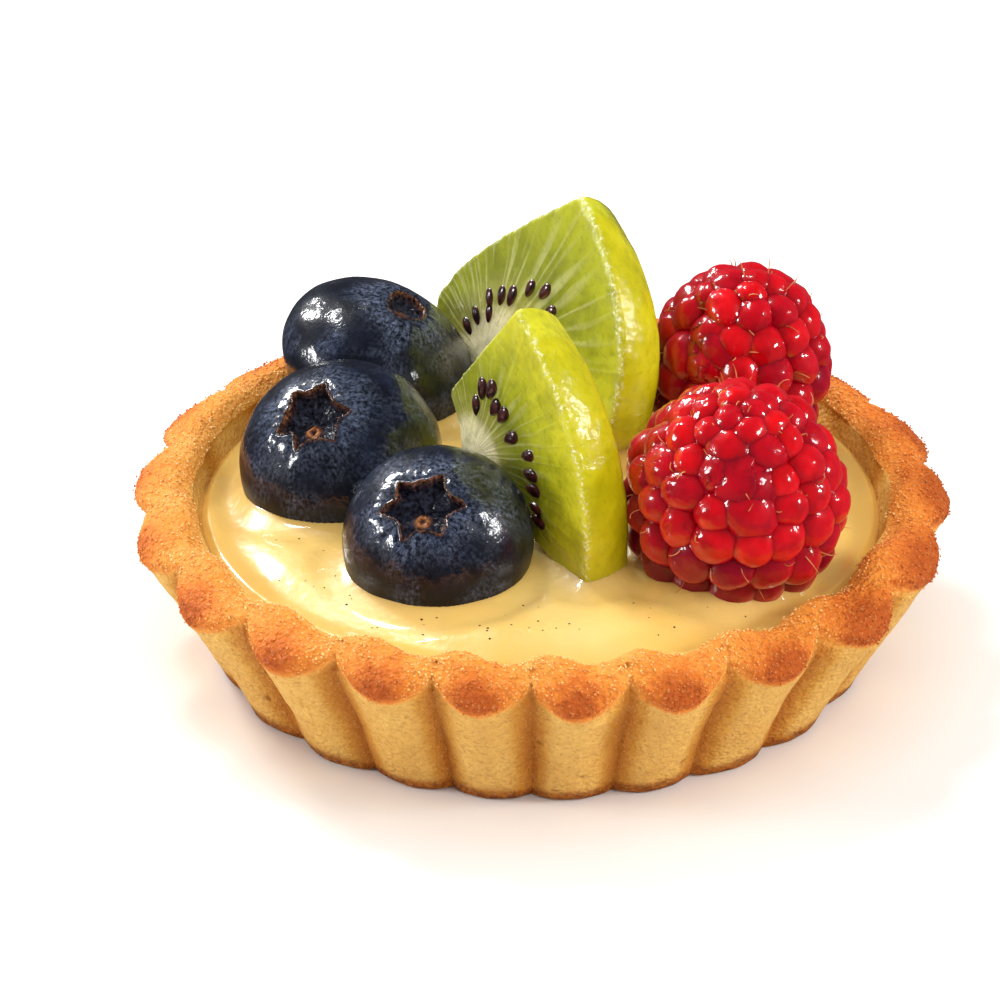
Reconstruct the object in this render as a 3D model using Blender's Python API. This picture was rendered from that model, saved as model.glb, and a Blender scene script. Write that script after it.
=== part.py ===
"""A small fruit tart: a fluted shortcrust case filled with custard, topped with three blueberries,
two kiwi slices and two raspberries. Metres, +Z up; the origin is the middle of the underside, and
-Y is the front."""

import math
import random

import bmesh
import bpy
from mathutils import Matrix, Vector

MM = 0.001
GAP = 0.3 * MM  # clearance between pieces that touch

# Crust. Angles run from the front, positive towards +X.
FLUTES = 21
FLUTE_STEPS = 6  # mesh columns across one flute
FLUTE_START = math.radians(-19.2)
SIDE_STRETCH = math.radians(3.8)  # flutes are narrower at front and back than at the sides
FRONT_SQUEEZE = math.radians(3.2)  # and narrowest at the very front
FLUTE_JITTER = math.radians(0.8)
TIP_RADIUS = 39.0 * MM
TIP_JITTER = 0.35 * MM
FLOOR_RADIUS = 31.2 * MM
FLOOR_SCALLOP = 0.8 * MM
FLOOR_THICKNESS = 3.5 * MM
RIM_HEIGHT = 16.6 * MM
RIM_JITTER = 0.3 * MM
INNER_TOP_RADIUS = 32.6 * MM
INNER_FLOOR_RADIUS = 27.2 * MM
INNER_LIP_DROP = 1.4 * MM  # from the rim down to where the inner wall starts
CREASE_RADIUS = 37.1 * MM  # reach of the rim in a crease between flutes
PETAL_DROP = 1.9 * MM  # how far a flute's crown folds down outside the rim
PUFF_POWER = 0.75  # under 1 for full flutes with narrow creases
RIM_OUTER_RADIUS = 35.2 * MM
RIM_INNER_RADIUS = 33.7 * MM
WALL_BEND = 0.46, 0.43  # shares of the wall's run and of the rim's height where the wall bends

# Custard
CUSTARD_EDGE_HEIGHT = 14.9 * MM
CUSTARD_SHOULDER_HEIGHT = 15.7 * MM
CUSTARD_TOP_HEIGHT = 16.3 * MM
CUSTARD_SHOULDER_RADIUS = 31.2 * MM
CUSTARD_FLAT_RADIUS = 29.0 * MM  # the shoulder is flat between this and CUSTARD_SHOULDER_RADIUS
CUSTARD_CROWN_RADIUS = 17.0 * MM
CUSTARD_SHOULDER_SAG = 0.15 * MM
CUSTARD_CROWN_SAG = 0.1 * MM
CUSTARD_CLEARANCE = 1.6  # in gaps: the case's wall leans, and its facets cut inside their circle
CUSTARD_COLUMNS = 56

# Blueberries: centre, half-width, half-height, direction of the star-shaped end, half-width of the star
BLUEBERRIES = {
    "blueberry_front": ((-9.8, -14.9, 18.1), 8.7, 8.0, (-0.15, -0.62, 0.77), 3.4),
    "blueberry_left": ((-19.2, 1.3, 17.9), 9.4, 8.5, (-0.32, -0.52, 0.79), 3.3),
    "blueberry_back": ((-16.1, 19.5, 19.5), 9.3, 6.6, (0.38, -0.22, 0.90), 2.3),
}
BERRY_COLUMNS = 20
BERRY_POLAR_ANGLES = (165, 145, 122, 100, 78, 56, 38)  # degrees from the star-shaped end
CROWN_POINTS = 5
CROWN_RINGS = (  # shares of the star's half-width at its hollows and points, and height over the skin in mm
    (1.0, 0.15, -0.05), (0.82, 0.2, 0.55), (0.62, 0.1, 0.2), (0.45, 0.0, -1.0),
)
CUP_DEPTH = 1.2 * MM

# Kiwi slices: core of the fruit, its radius, the way the cut face looks (turn from -X towards -Y, and
# lean back, in degrees), then the corners left by the two straight cuts, as (angle, radius) about the core
KIWI_THICKNESS = 5.4 * MM
KIWI_SKIN_TAPER = 0.7 * MM  # how far the back's outline lies inside the front's
KIWI_APEX_TAPER = 2.4 * MM  # the same at the slice's highest corner, where the fruit rounds off
KIWI_CUT_TAPER = 0.5  # the straight cuts' share of the apex's taper
KIWI_ARC_STEPS = 14
KIWI_ARC_POWER = 0.6  # under 1 for an arc that leaves its ends steeply
KIWI_WAIST = 0.5  # share of the thickness where the edge is widest
KIWI_WAIST_TAPER = 0.3  # and its share of the apex's taper
KIWIS = {
    "kiwi_slice_front": (
        (-6.0, -4.7, 21.9), 17.3, 34, 0, (-21, 19.3), (70, 19.3), (136, 6.7), (150, 3.2), (235, 2.6),
    ),
    "kiwi_slice_back": (
        (-3.8, 19.2, 21.2), 20.0, 33, 12,
        (-16, 17.0), (67, 20.6), (95, 12.1), (127, 9.9), (157, 10.4), (177, 12.0), (205, 12.5),
    ),
}

# Raspberries: centre, half-width, half-height, direction of the tip
RASPBERRIES = {
    "raspberry_front": ((18.1, -13.5, 22.7), 10.6, 11.1, (0.10, -0.30, 0.95)),
    "raspberry_back": ((19.3, 12.7, 23.0), 9.3, 10.3, (0.10, -0.10, 0.99)),
}
DRUPELET_DEPTH = 0.8 * MM
TIP_TAPER = 0.2  # how much narrower a raspberry is at its tip than at its middle
TIP_TAPER_POWER = 1.5
BALL_SUBDIVISIONS = 3
SHARP_ANGLE = math.radians(50)


def clear_scene():
    for obj in list(bpy.data.objects):
        bpy.data.objects.remove(obj, do_unlink=True)


def material(name, colour, roughness):
    found = bpy.data.materials.get(name) or bpy.data.materials.new(name)
    found.use_nodes = True
    shader = found.node_tree.nodes["Principled BSDF"]
    shader.inputs["Base Color"].default_value = (*colour, 1.0)
    shader.inputs["Roughness"].default_value = roughness
    shader.inputs["Metallic"].default_value = 0.0
    return found


def add_object(name, mesh_data, look):
    mesh = bpy.data.meshes.new(name)
    mesh_data.to_mesh(mesh)
    mesh_data.free()
    mesh.shade_smooth()
    mesh.set_sharp_from_angle(angle=SHARP_ANGLE)
    obj = bpy.data.objects.new(name, mesh)
    bpy.context.scene.collection.objects.link(obj)
    if look:
        mesh.materials.append(look)
    return obj


def closed_surface(rings, bottom, top):
    """A closed mesh through rings of equally many points, with a point in the middle of each end."""
    shape = bmesh.new()
    loops = [[shape.verts.new(point) for point in ring] for ring in rings]
    for lower, upper in zip(loops, loops[1:]):
        for i in range(len(lower)):
            j = (i + 1) % len(lower)
            shape.faces.new((lower[i], lower[j], upper[j], upper[i]))
    for loop, centre in ((loops[0], bottom), (loops[-1], top)):
        middle = shape.verts.new(centre)
        for i in range(len(loop)):
            shape.faces.new((middle, loop[i], loop[(i + 1) % len(loop)]))
    bmesh.ops.recalc_face_normals(shape, faces=shape.faces)
    return shape


def around(radius, angle, height):
    return Vector((radius * math.sin(angle), -radius * math.cos(angle), height))


def flute_angle(turn):
    """Where the flutes' even spacing, turn, lands on the case."""
    return turn - SIDE_STRETCH * math.sin(2 * turn) - FRONT_SQUEEZE * math.sin(turn)


def crust_section(puff, tip, rim):
    """The case's (radius, height) from the middle of its underside out, up and in. puff is 0 in a crease
    and 1 on the crown of a flute."""
    floor = FLOOR_RADIUS + FLOOR_SCALLOP * (puff - 0.5)
    lip = CREASE_RADIUS + (tip - CREASE_RADIUS) * puff
    drop = PETAL_DROP * puff
    bend_run, bend_rise = WALL_BEND
    return [
        (floor - 1.2 * MM, 0.0),
        (floor, 0.9 * MM),
        (floor + (lip - floor) * bend_run, RIM_HEIGHT * bend_rise),
        (lip - 0.9 * MM, rim - 1.8 * MM - drop),
        (lip, rim - 0.6 * MM - drop * 0.85),
        (lip - 1.1 * MM, rim + 0.1 * MM - drop * 0.3),
        (RIM_OUTER_RADIUS, rim + 0.15 * MM),
        (RIM_INNER_RADIUS, rim - 0.2 * MM),
        (INNER_TOP_RADIUS, rim - INNER_LIP_DROP),
        (INNER_FLOOR_RADIUS, FLOOR_THICKNESS),
    ]


def build_crust(look):
    rng = random.Random(7)
    sections = []
    for flute in range(FLUTES):
        shift = rng.uniform(-FLUTE_JITTER, FLUTE_JITTER)
        tip = TIP_RADIUS + rng.uniform(-TIP_JITTER, TIP_JITTER)
        rim = RIM_HEIGHT + rng.uniform(-RIM_JITTER, RIM_JITTER)
        for step in range(FLUTE_STEPS):
            across = step / FLUTE_STEPS
            puff = math.sin(math.pi * across) ** PUFF_POWER
            turn = FLUTE_START + math.tau * (flute + across) / FLUTES
            angle = flute_angle(turn) + shift * puff
            height = RIM_HEIGHT + (rim - RIM_HEIGHT) * puff
            sections.append((angle, crust_section(puff, tip, height)))
    rings = [
        [around(section[i][0], angle, section[i][1]) for angle, section in sections]
        for i in range(len(sections[0][1]))
    ]
    return add_object("crust", closed_surface(rings, (0, 0, 0), (0, 0, FLOOR_THICKNESS)), look)


def build_custard(look):
    """Fills the case up to a low dome with a rounded shoulder."""
    slope = (INNER_TOP_RADIUS - INNER_FLOOR_RADIUS) / (RIM_HEIGHT - INNER_LIP_DROP - FLOOR_THICKNESS)
    floor = FLOOR_THICKNESS + GAP
    inner = INNER_FLOOR_RADIUS - GAP * CUSTARD_CLEARANCE
    section = [
        (inner + slope * GAP, floor),
        (inner + slope * (CUSTARD_EDGE_HEIGHT - FLOOR_THICKNESS), CUSTARD_EDGE_HEIGHT),
        (CUSTARD_SHOULDER_RADIUS, CUSTARD_SHOULDER_HEIGHT - CUSTARD_SHOULDER_SAG),
        (CUSTARD_FLAT_RADIUS, CUSTARD_SHOULDER_HEIGHT),
        (CUSTARD_CROWN_RADIUS, CUSTARD_TOP_HEIGHT - CUSTARD_CROWN_SAG),
    ]
    rings = [
        [around(radius, math.tau * i / CUSTARD_COLUMNS, height) for i in range(CUSTARD_COLUMNS)]
        for radius, height in section
    ]
    return add_object("custard", closed_surface(rings, (0, 0, floor), (0, 0, CUSTARD_TOP_HEIGHT)), look)


def pointing(centre, axis):
    """A matrix that carries the local origin to centre and local +Z to axis."""
    return Matrix.Translation(Vector(centre) * MM) @ Vector(axis).to_track_quat("Z", "Y").to_matrix().to_4x4()


def berry_rings(width, height, star):
    """A squashed ball whose top is drawn into a pointed crown around a shallow cup."""
    rings = []
    for polar in BERRY_POLAR_ANGLES:
        t = math.radians(polar)
        rings.append([
            (width * math.sin(t) * math.cos(a), width * math.sin(t) * math.sin(a), height * math.cos(t))
            for a in (math.tau * i / BERRY_COLUMNS for i in range(BERRY_COLUMNS))
        ])
    for base, point, lift in CROWN_RINGS:
        ring = []
        for i in range(BERRY_COLUMNS):
            a = math.tau * i / BERRY_COLUMNS
            radius = star * (base + point * math.cos(CROWN_POINTS * a))
            skin = height * math.sqrt(max(0.0, 1 - (radius / width) ** 2))
            ring.append((radius * math.cos(a), radius * math.sin(a), skin + lift * MM))
        rings.append(ring)
    return rings


def build_blueberry(name, centre, width, height, axis, star, look):
    width, height, star = width * MM, height * MM, star * MM
    cup_floor = (0, 0, height - CUP_DEPTH)
    obj = add_object(name, closed_surface(berry_rings(width, height, star), (0, 0, -height), cup_floor), look)
    obj.matrix_world = pointing(centre, axis)
    return obj


def kiwi_outline(radius, corners, grow, apex=0.0):
    """The slice's outline about its core: an arc between the first two corners, and straight cuts. It is
    moved out by grow, and in by up to apex towards the arc's far end."""
    (start, start_radius), (end, end_radius) = corners[:2]
    points = []
    for i in range(KIWI_ARC_STEPS + 1):
        t = i / KIWI_ARC_STEPS
        ends = start_radius * (1 - t) + end_radius * t
        bow = ends + (radius - ends) * math.sin(math.pi * t) ** KIWI_ARC_POWER
        points.append((math.radians(start + (end - start) * t), bow))
    points += [(math.radians(angle), reach) for angle, reach in corners[2:]]
    flat = [Vector((reach * MM * math.cos(angle), reach * MM * math.sin(angle))) for angle, reach in points]
    arc_taper = [(i / KIWI_ARC_STEPS) ** 3 for i in range(KIWI_ARC_STEPS + 1)]
    cut_taper = [KIWI_CUT_TAPER] * (len(corners) - 2)
    return grown(flat, [grow - apex * share for share in arc_taper + cut_taper])


def grown(outline, distances):
    """The outline with each point moved outwards by its distance."""
    moved = []
    for i, (point, distance) in enumerate(zip(outline, distances)):
        before = (point - outline[i - 1]).normalized()
        after = (outline[(i + 1) % len(outline)] - point).normalized()
        out_a = Vector((before.y, -before.x))
        out_b = Vector((after.y, -after.x))
        out = (out_a + out_b) / (1 + out_a.dot(out_b))
        moved.append(point + out * distance)
    return moved


def slice_matrix(centre, turn, lean):
    """Local X runs along the slice, Y up it, and Z out of the cut face that shows."""
    turn, lean = math.radians(turn), math.radians(lean)
    face = Vector((-math.cos(turn) * math.cos(lean), -math.sin(turn) * math.cos(lean), math.sin(lean)))
    along = Vector((0, 0, 1)).cross(face).normalized()
    up = face.cross(along)
    turned = Matrix((along, up, face)).transposed().to_4x4()
    return Matrix.Translation(Vector(centre) * MM) @ turned


def build_kiwi(name, centre, radius, turn, lean, *corners, look, grow=0.0):
    layers = (
        (-KIWI_THICKNESS - grow, grow - KIWI_SKIN_TAPER, KIWI_APEX_TAPER),
        (-KIWI_THICKNESS * KIWI_WAIST, grow, KIWI_APEX_TAPER * KIWI_WAIST_TAPER),
        (grow, grow, 0.0),
    )
    rings = [
        [(p.x, p.y, depth) for p in kiwi_outline(radius, corners, out, apex)] for depth, out, apex in layers
    ]
    shape = bmesh.new()
    loops = [[shape.verts.new(point) for point in ring] for ring in rings]
    for lower, upper in zip(loops, loops[1:]):
        for i in range(len(lower)):
            j = (i + 1) % len(lower)
            shape.faces.new((lower[i], lower[j], upper[j], upper[i]))
    shape.faces.new(loops[0])
    shape.faces.new(loops[-1])
    bmesh.ops.recalc_face_normals(shape, faces=shape.faces)
    bmesh.ops.triangulate(shape, faces=[face for face in shape.faces if len(face.verts) > 4])
    obj = add_object(name, shape, look)
    obj.matrix_world = slice_matrix(centre, turn, lean)
    return obj


def raspberry_point(direction, width, height):
    taper = 1 - TIP_TAPER * max(0.0, direction.z) ** TIP_TAPER_POWER
    return Vector((direction.x * width * taper, direction.y * width * taper, direction.z * height))


def build_raspberry(name, centre, width, height, axis, look):
    """A tapering ball of drupelets: each corner of a fine icosphere is a drupelet's crown, and the
    middles of its faces are joined up as the furrows between them."""
    shape = bmesh.new()
    bmesh.ops.create_icosphere(shape, subdivisions=BALL_SUBDIVISIONS, radius=1.0)
    crowns = set(shape.verts)
    old_edges = list(shape.edges)
    bmesh.ops.poke(shape, faces=shape.faces)
    bmesh.ops.rotate_edges(shape, edges=old_edges, use_ccw=False)
    for vert in shape.verts:
        depth = 0.0 if vert in crowns else DRUPELET_DEPTH
        direction = vert.co.normalized()
        vert.co = raspberry_point(direction, width * MM - depth, height * MM - depth)
    bmesh.ops.recalc_face_normals(shape, faces=shape.faces)
    obj = add_object(name, shape, look)
    obj.matrix_world = pointing(centre, axis)
    return obj


def hidden(cutter):
    cutter.hide_render = True
    cutter.display_type = "WIRE"
    return cutter


def berry_cutter(name, centre, width, height, axis):
    shape = bmesh.new()
    bmesh.ops.create_icosphere(shape, subdivisions=BALL_SUBDIVISIONS, radius=1.0)
    half_width, half_height = width * MM + 2 * GAP, height * MM + 2 * GAP
    cutter = add_object(name, shape, None)
    cutter.matrix_world = pointing(centre, axis) @ Matrix.Diagonal((half_width, half_width, half_height, 1.0))
    return hidden(cutter)


def cut_pockets(custard, cutters):
    for cutter in cutters:
        cut = custard.modifiers.new(cutter.name, "BOOLEAN")
        cut.operation = "DIFFERENCE"
        cut.solver = "EXACT"
        cut.object = cutter


def main():
    clear_scene()
    crust_look = material("shortcrust", (0.72, 0.44, 0.17), 0.75)
    custard_look = material("custard", (0.90, 0.68, 0.30), 0.25)
    blueberry_look = material("blueberry skin", (0.03, 0.04, 0.09), 0.3)
    kiwi_look = material("kiwi flesh", (0.50, 0.58, 0.07), 0.25)
    raspberry_look = material("raspberry", (0.62, 0.03, 0.03), 0.25)
    build_crust(crust_look)
    custard = build_custard(custard_look)
    cutters = []
    for name, (centre, width, height, axis, star) in BLUEBERRIES.items():
        build_blueberry(name, centre, width, height, axis, star, blueberry_look)
        cutters.append(berry_cutter(name + "_pocket", centre, width, height, axis))
    for name, sizes in KIWIS.items():
        build_kiwi(name, *sizes, look=kiwi_look)
        pocket = build_kiwi(name + "_pocket", *sizes, look=None, grow=GAP)
        cutters.append(hidden(pocket))
    for name, (centre, width, height, axis) in RASPBERRIES.items():
        build_raspberry(name, centre, width, height, axis, raspberry_look)
        cutters.append(berry_cutter(name + "_pocket", centre, width, height, axis))
    cut_pockets(custard, cutters)


main()
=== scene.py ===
"""A small fruit tart: fluted shortcrust, custard, blueberries, kiwi slices and raspberries under a thin
glaze. The pieces' sizes are in millimetres, which MM turns into the scene's metres. Lamps and the camera's
distance are in metres. -Y is the tart's front."""

import math
import random

import bpy
import numpy as np
from mathutils import Matrix, Vector, noise
from mathutils.bvhtree import BVHTree


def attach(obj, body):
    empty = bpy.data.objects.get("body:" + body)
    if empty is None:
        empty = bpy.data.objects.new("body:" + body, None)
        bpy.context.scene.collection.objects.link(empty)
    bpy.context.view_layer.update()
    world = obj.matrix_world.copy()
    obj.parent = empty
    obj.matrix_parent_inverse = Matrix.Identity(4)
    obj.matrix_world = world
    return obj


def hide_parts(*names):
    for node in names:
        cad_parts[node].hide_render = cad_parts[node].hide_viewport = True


MM = 0.001
SEAM = 0.002 * MM
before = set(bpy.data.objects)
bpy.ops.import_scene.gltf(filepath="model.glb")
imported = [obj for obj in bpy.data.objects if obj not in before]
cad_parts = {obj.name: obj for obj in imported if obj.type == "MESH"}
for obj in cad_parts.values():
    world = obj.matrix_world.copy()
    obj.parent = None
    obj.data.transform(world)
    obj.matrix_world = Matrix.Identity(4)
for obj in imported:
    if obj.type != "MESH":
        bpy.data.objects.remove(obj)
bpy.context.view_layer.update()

# Crust, as the frame's case is made. Angles run from the front, positive towards +X.
FLUTES = 21
FLUTE_START = math.radians(-19.2)
SIDE_STRETCH = math.radians(3.8)
FRONT_SQUEEZE = math.radians(3.2)
FLUTE_JITTER = math.radians(0.8)
TIP_RADIUS = 39.0
TIP_JITTER = 0.35
FLOOR_RADIUS = 31.2
FLOOR_SCALLOP = 1.4
RIM_HEIGHT = 16.6
RIM_JITTER = 0.3
CREASE_LIP = 36.5
FLUTE_COLUMNS = 36
CRUST_ROWS = 120
# Shares of the way along the case's section at which its rows lie
CRUST_STOPS = (
    0.0, 0.03, 0.06, 0.075, 0.09, 0.26, 0.42, 0.48, 0.53, 0.58, 0.65, 0.73, 0.80, 0.86, 0.90, 0.95, 0.97, 1.0,
)
PITS = 70
RIM_GRAINS = 9500

# Custard, from its floor on the crust to its domed top
CUSTARD_EDGE_RADIUS = 32.4
CUSTARD_TOP = 16.3
CUSTARD_FLOOR = 3.85
CUSTARD_COLUMNS = 400
CUSTARD_ROWS = 130
# Shares of the way from the middle of its top over the edge to the middle of its underside
CUSTARD_STOPS = (0.0, 0.36, 0.56, 0.68, 0.78, 0.86, 0.93, 0.97, 1.0)
SPECKS = 90
CONTACT_REACH = 4
OUT_OF_REACH = 9.0

# The berries' skins are grids, with their rows crowded at the crown
BERRY_COLUMNS = 224
BERRY_ROWS = 190
BERRY_CROWDING = 1.6
# Blueberries: centre, half-width, half-height, way the crown faces, its half-width, the angles of its points.
# The skins stand a little outside their solids.
BLUEBERRIES = {
    "blueberry_front": (
        (-9.7, -14.8, 18.4), 8.9, 8.0, (-0.17, -0.60, 0.78), 3.7, (0.2, 1.25, 2.5, 3.4, 4.4, 5.5),
    ),
    "blueberry_left": (
        (-19.0, 1.5, 18.1), 9.8, 8.6, (-0.30, -0.50, 0.81), 3.7, (0.5, 1.7, 2.6, 3.9, 4.7, 5.8),
    ),
    "blueberry_back": ((-15.9, 19.4, 19.5), 9.8, 6.9, (0.43, -0.08, 0.90), 2.1, ()),
}

# Kiwi slices: the fruit's core, its radius, the cut face's turn from -X to -Y and its lean back, then the
# outline's corners as (angle, distance) about the core: an arc runs between the first two
KIWI_COLUMNS = 288
KIWI_ROWS = 120
KIWI_THICKNESS = 5.4
KIWI_SKIN_TAPER = 0.7
KIWI_APEX_TAPER = 2.4
KIWI_CUT_TAPER = 0.5
KIWIS = {
    "kiwi_slice_front": (
        (-6.0, -4.7, 21.9), 17.3, 34, 0, (-21, 19.3), (70, 19.3), (136, 6.7), (150, 3.2), (235, 2.6),
    ),
    "kiwi_slice_back": (
        (-3.8, 19.2, 21.2), 20.0, 33, 12,
        (-16, 17.0), (67, 20.6), (95, 12.1), (127, 9.9), (157, 10.4), (177, 12.0), (205, 12.5),
    ),
}

# Where the rings of the flesh centre on each cut face, and how far they are squeezed along the slant
PATTERNS = {"kiwi_slice_front": (0.0, 0.0, 1.0), "kiwi_slice_back": (-1.5, -2.2, 0.62)}
PATTERN_SLANT = math.radians(50)
KIWI_FIBRES = 60.0
# Shares of the way from the middle of the hidden face over the edge to the middle of the one in view
KIWI_STOPS = (0.0, 0.18, 0.20, 0.22, 0.50, 0.53, 0.56, 1.0)
# Each slice's seeds as (angle, distance) about its pattern
SEED_SINK = 0.10
SEEDS = {
    "kiwi_slice_front": (
        (84, 7.3), (74, 8.1), (92, 5.1), (65, 6.8), (55, 7.2), (37, 6.8), (23, 9.0), (11, 8.9), (2, 9.2),
        (-8, 9.8), (-14, 10.5),
    ),
    "kiwi_slice_back": (
        (157, 4.7), (134, 4.7), (106, 6.1), (106, 4.6), (89, 6.9), (77, 7.7), (65, 10.3), (56, 12.0),
        (46, 11.6), (30, 10.5), (12, 9.5), (-8, 9.0),
    ),
}

# Raspberries: centre, half-width, half-height, way the tip faces, way the patch of thick glaze faces
RASPBERRIES = {
    "raspberry_front": ((17.9, -13.5, 22.9), 10.8, 11.4, (0.10, -0.30, 0.95), (0.0, -0.75, 0.50)),
    "raspberry_back": ((19.3, 12.7, 23.0), 9.3, 10.3, (0.10, -0.10, 0.99), (-0.35, -0.75, 0.50)),
}
TIP_TAPER = 0.2
# Drupelets: half-width, spacing in a row and between rows, how much longer the berry is below its middle,
# and how far from the middle of the thick glaze they swell, as an angle
DRUPELET_RADIUS = 2.4
DRUPELET_PITCH = 3.1
DRUPELET_ROW = 2.65
HOLLOW_STRETCH = 1.18
GLAZED_REACH = 0.42
CORE_COLUMNS = 150
CORE_ROWS = 100
HAIR_RADIUS = 0.07

# Glaze: how fine its patches are beside its ripples
FILM_PATCH = 0.35

# View, floor and lamps
FLOOR_SIZE = 3.0
FLOOR_ROUGHNESS = 0.7
# Name, way from the tart, distance, width, height, power, and whether it shows as a highlight
LAMPS = (
    ("key", (-0.57, 0.62, 0.54), 0.6, 0.13, 0.11, 2.0, True),
    ("left", (-0.95, -0.12, 0.34), 0.6, 0.14, 0.14, 1.55, True),
    ("strip", (-0.30, 0.42, 0.86), 0.6, 0.12, 0.07, 1.0, True),
    ("right", (0.93, -0.20, 0.42), 0.8, 0.15, 0.15, 2.3, True),
    ("front", (0.62, -0.75, 0.62), 0.9, 0.55, 0.40, 2.6, False),
    ("overhead", (0.25, -0.10, 1.0), 1.1, 1.2, 1.2, 5.6, False),
)
DIFFUSE_SKY = (0.40, 0.40, 0.40, 1.0)
GLOSSY_SKY = (0.06, 0.06, 0.07, 1.0)
BACKDROP = (1.0, 1.0, 1.0, 1.0)
CAMERA_DISTANCE = 0.5
CAMERA_ELEVATION = math.radians(28.68)
CAMERA_AIM = Vector((-3.87 * MM, 0.0, 14.45 * MM))
VIEW_WIDTH = 95.35 * MM
SENSOR = 36.0


# ---------------------------------------------------------------- helpers for making pieces

def only(obj):
    """Leaves obj alone selected and active, in object mode."""
    if bpy.context.mode != "OBJECT":
        bpy.ops.object.mode_set(mode="OBJECT")
    bpy.ops.object.select_all(action="DESELECT")
    if obj:
        obj.select_set(True)
        bpy.context.view_layer.objects.active = obj


def new_piece(name, add, **sizes):
    """A new object from one of the primitive operators."""
    only(None)
    add(**sizes)
    obj = bpy.context.active_object
    obj.name = name
    obj.data.name = name
    return obj


def points_of(obj):
    flat = np.empty(len(obj.data.vertices) * 3)
    obj.data.vertices.foreach_get("co", flat)
    return flat.reshape(-1, 3)


def set_points(obj, points):
    obj.data.vertices.foreach_set("co", np.ascontiguousarray(points, np.float32).ravel())
    obj.data.update()


def set_mask(obj, name, values):
    layer = obj.data.attributes.new(name, "FLOAT", "POINT")
    layer.data.foreach_set("value", np.ascontiguousarray(values, np.float32))


def mask_of(obj, name):
    values = np.empty(len(obj.data.vertices), np.float32)
    obj.data.attributes[name].data.foreach_get("value", values)
    return values


def set_place(obj, name, values):
    layer = obj.data.attributes.new(name, "FLOAT_VECTOR", "POINT")
    layer.data.foreach_set("vector", np.ascontiguousarray(values, np.float32).ravel())


def sheet_grid(name, columns, rows):
    """A flat grid, with each point's share across and along it."""
    add = bpy.ops.mesh.primitive_grid_add
    obj = new_piece(name, add, x_subdivisions=columns, y_subdivisions=rows, size=1)
    flat = points_of(obj)
    return obj, flat[:, 0] + 0.5, flat[:, 1] + 0.5


def rolled_ball(name, columns, rows, crowding):
    """A grid rolled into a unit ball: its ways out, angles from the pole and around, crowded at the pole."""
    obj, across, along = sheet_grid(name, columns, rows)
    polar, around = np.pi * along**crowding, math.tau * across
    ways = np.stack([np.sin(polar) * np.cos(around), np.sin(polar) * np.sin(around), np.cos(polar)], axis=-1)
    ways[along > 1 - 1e-6] = (0, 0, -1)
    return obj, ways, polar, around


def turned_about(rows, stops, angle, along):
    """A section of (radius, height) rows carried round the tart: points, radii, heights and rows."""
    controls = np.array([np.stack(pair, axis=-1) for pair in rows])
    spots = np.interp(along, stops, np.arange(len(stops)))
    radius, height = through(controls, spots).T
    return np.stack([radius * np.sin(angle), -radius * np.cos(angle), height], axis=-1), radius, height, spots


def close_up(obj):
    """Merges a rolled-up grid's seam and poles and turns its faces out."""
    only(obj)
    bpy.ops.object.mode_set(mode="EDIT")
    bpy.ops.mesh.select_all(action="SELECT")
    bpy.ops.mesh.remove_doubles(threshold=SEAM)
    bpy.ops.mesh.normals_make_consistent(inside=False)
    bpy.ops.object.mode_set(mode="OBJECT")


def lumps(points, size, seed=0.0):
    """Smooth noise between about -1 and 1, with lumps of the given size, at points in millimetres."""
    return np.array([noise.noise(Vector(p)) for p in points / size + seed])


def ease(low, high, values):
    t = np.clip((values - low) / (high - low), 0, 1)
    return t * t * (3 - 2 * t)


def through(controls, spots):
    """A smooth curve through controls (an array for each control) at the spots, counted in controls."""
    k = np.clip(np.floor(spots).astype(int), 0, len(controls) - 2)
    t = (spots - k)[:, None]
    pick = np.arange(len(spots))
    last = len(controls) - 1
    a, b, c, d = (controls[np.clip(k + step, 0, last), pick] for step in (-1, 0, 1, 2))
    return 0.5 * (2 * b + (c - a) * t + (2 * a - 5 * b + 4 * c - d) * t**2 + (3 * b - a - 3 * c + d) * t**3)


def frame_to(centre, axis):
    """Carries the local origin to centre, in millimetres, and local +Z to axis."""
    return Matrix.Translation(Vector(centre)) @ Vector(axis).to_track_quat("Z", "Y").to_matrix().to_4x4()


def carried(points, matrix):
    m = np.array(matrix)
    return points @ m[:3, :3].T + m[:3, 3]


def normals_of(obj):
    flat = np.empty(len(obj.data.vertices) * 3)
    obj.data.vertex_normals.foreach_get("vector", flat)
    return flat.reshape(-1, 3)


def tree_of(obj):
    return BVHTree.FromObject(obj, bpy.context.evaluated_depsgraph_get())


def finish_piece(obj, look, slot, *nodes):
    only(obj)
    bpy.ops.object.shade_smooth()
    obj.data.materials.clear()
    obj.data.materials.append(look)
    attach(obj, "root")
    if nodes:
        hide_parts(*nodes)
    return obj


def linked(name, data):
    """A new object for the data, in the scene."""
    obj = bpy.data.objects.new(name, data)
    bpy.context.scene.collection.objects.link(obj)
    return obj


def joined_copies(name, pattern, placements):
    """One mesh of many copies of pattern, each placed by a 4 x 4 array, in millimetres."""
    points = points_of(pattern)
    faces = [tuple(face.vertices) for face in pattern.data.polygons]
    all_points = np.concatenate([carried(points, m) for m in placements])
    all_faces = [
        tuple(i + copy * len(points) for i in face) for copy in range(len(placements)) for face in faces
    ]
    mesh = bpy.data.meshes.new(name)
    mesh.from_pydata((all_points * MM).tolist(), [], all_faces)
    bpy.data.objects.remove(pattern)
    return linked(name, mesh)


# ---------------------------------------------------------------- helpers for making materials

def colour(red, green, blue):
    """A linear colour from the 0 to 255 values of a colour chart."""
    def linear(c):
        c /= 255
        return c / 12.92 if c <= 0.04045 else ((c + 0.055) / 1.055) ** 2.4
    return (linear(red), linear(green), linear(blue), 1.0)


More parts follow.
